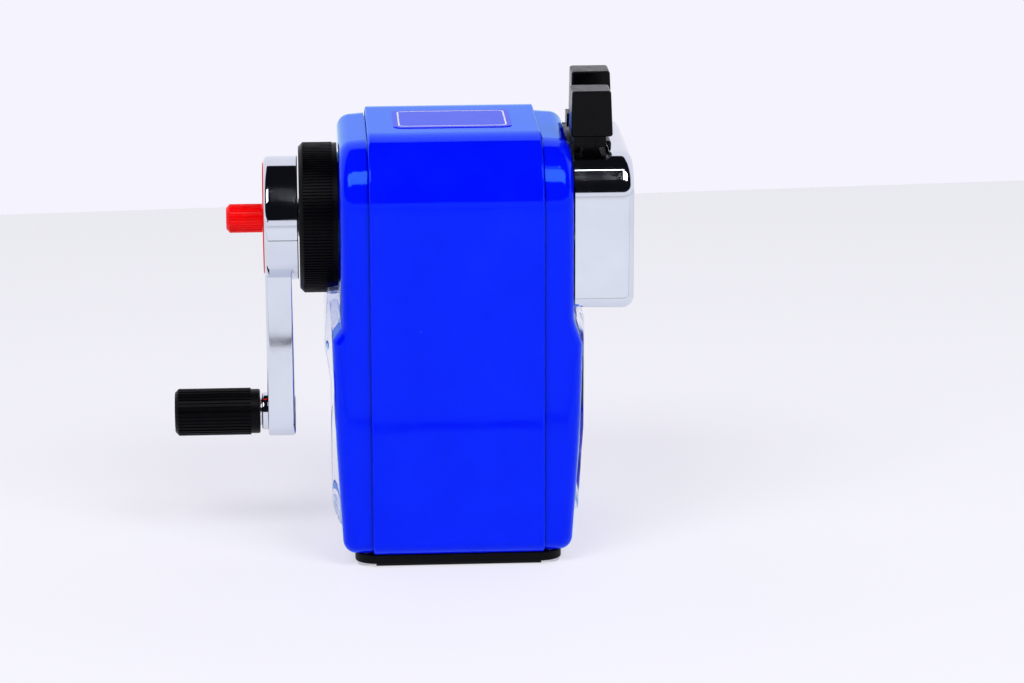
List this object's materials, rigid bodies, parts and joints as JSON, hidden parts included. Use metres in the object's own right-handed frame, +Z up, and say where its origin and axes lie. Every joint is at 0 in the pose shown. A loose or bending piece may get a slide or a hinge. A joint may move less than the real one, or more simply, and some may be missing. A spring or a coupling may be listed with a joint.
{
  "type": "desk pencil sharpener",
  "caption": "Hand-cranked desk pencil sharpener with a steel body, a sprung pull-out face that grips the pencil, a helical cutter unit and a shavings drawer.",
  "frame": {"origin": "centre of the casing on the table, under the base", "axes": "+Z up, -Y towards the pencil side, +Y towards the crank, +X to the right seen from the pencil side"},
  "size_m": [0.068, 0.1215, 0.1239],
  "materials": {
    "blue_paint": "gloss enamel",
    "blue_plastic": "gloss moulded",
    "chrome_plating": "bright plated",
    "black_plastic": "semi-gloss moulded",
    "black_ribbed": "satin moulded, ribbed",
    "black_base": "fine grained",
    "black_rubber": "matt",
    "red_plastic": "gloss moulded",
    "clear_plastic": "clear moulded",
    "grey_plastic": "moulded",
    "gear_plastic": "acetal",
    "label_film": "printed film",
    "die_cast": "zinc die-cast",
    "zinc_steel": "zinc plated",
    "polished_steel": "polished",
    "spring_steel": "drawn wire",
    "tool_steel": "hardened and ground",
    "bronze": "sintered"
  },
  "bodies": {
    "casing": {"body_shell": "blue_paint", "front_panel": "blue_plastic", "rear_panel": "blue_plastic", "base_plate": "black_base", "rubber_pad": "black_rubber", "base_screws": "zinc_steel", "drawer_bay": "grey_plastic", "rear_window": "clear_plastic", "top_label": "label_film", "bearing_plate": "zinc_steel", "plate_screws": "zinc_steel", "gear_screws": "zinc_steel", "front_bush": "bronze", "rear_bush": "bronze", "ring_gear": "gear_plastic", "guide_bushes": "gear_plastic", "return_springs": "spring_steel", "unit_flange": "black_plastic"},
    "drawer": {"shavings_drawer": "clear_plastic"},
    "carriage": {"face_housing": "chrome_plating", "entry_bush": "black_plastic", "chuck_plate": "black_plastic", "chuck_cover": "black_plastic", "cover_screws": "zinc_steel", "guide_rods": "polished_steel", "rod_stops": "zinc_steel", "pivot_pins": "polished_steel", "jaw_spring": "spring_steel"},
    "left_rocker": {"left_lever": "black_plastic", "left_jaw": "black_rubber"},
    "right_rocker": {"right_lever": "black_plastic", "right_jaw": "black_rubber"},
    "lock_ring": {"ring_cap": "black_ribbed"},
    "crank": {"crank_arm": "chrome_plating", "crank_nut": "zinc_steel", "dial_disc": "red_plastic", "handle_pin": "polished_steel", "carrier": "die_cast", "cutter_spindle": "polished_steel"},
    "handle": {"handle_grip": "black_ribbed"},
    "adjuster": {"adjuster_knob": "red_plastic"},
    "point_stop": {"stop_rod": "polished_steel"},
    "cutter": {"helical_cutter": "tool_steel", "cutter_pinion": "tool_steel"}
  },
  "joints": [
    {"name": "crank_turn", "type": "hinge", "parent": "casing", "child": "crank", "pos_m": [0, 0.045, 0.0874], "axis": [0, -1, 0], "continuous": true},
    {"name": "handle_spin", "type": "hinge", "parent": "crank", "child": "handle", "pos_m": [0, 0.063, 0.0342], "axis": [0, 1, 0], "continuous": true},
    {"name": "cutter_spin", "type": "hinge", "parent": "crank", "child": "cutter", "pos_m": [0, 0.0069, 0.09247], "axis": [0, -0.9863, 0.165], "continuous": true},
    {"name": "adjuster_turn", "type": "hinge", "parent": "crank", "child": "adjuster", "pos_m": [0, 0.055, 0.0874], "axis": [0, 1, 0], "range_deg": [0, 270]},
    {"name": "stop_slide", "type": "slide", "parent": "crank", "child": "point_stop", "axis": [0, -1, 0], "range_m": [0, 0.003]},
    {"name": "lock_turn", "type": "hinge", "parent": "casing", "child": "lock_ring", "pos_m": [0, 0.035, 0.0874], "axis": [0, 1, 0], "range_deg": [0, 60]},
    {"name": "carriage_slide", "type": "slide", "parent": "casing", "child": "carriage", "axis": [0, -1, 0], "range_m": [0, 0.036], "stiffness_N_per_m": 60, "springref_m": -0.02, "deforming": ["return_springs"]},
    {"name": "left_pinch", "type": "hinge", "parent": "carriage", "child": "left_rocker", "pos_m": [-0.013, -0.0355, 0.1002], "axis": [0, 1, 0], "range_deg": [0, 12], "stiffness_Nm_per_rad": 0.15, "springref_deg": -17.19, "deforming": ["jaw_spring"]},
    {"name": "right_pinch", "type": "hinge", "parent": "carriage", "child": "right_rocker", "pos_m": [0.013, -0.0355, 0.1002], "axis": [0, -1, 0], "range_deg": [0, 12]},
    {"name": "drawer_slide", "type": "slide", "parent": "casing", "child": "drawer", "axis": [0, -1, 0], "range_m": [0, 0.045]}
  ],
  "couplings": [
    {"joint": "cutter_spin", "follows": "crank_turn", "ratio": -3.1667},
    {"joint": "adjuster_turn", "follows": "stop_slide", "rad_per_m": 1570.6},
    {"joint": "right_pinch", "follows": "left_pinch", "ratio": 1}
  ]
}
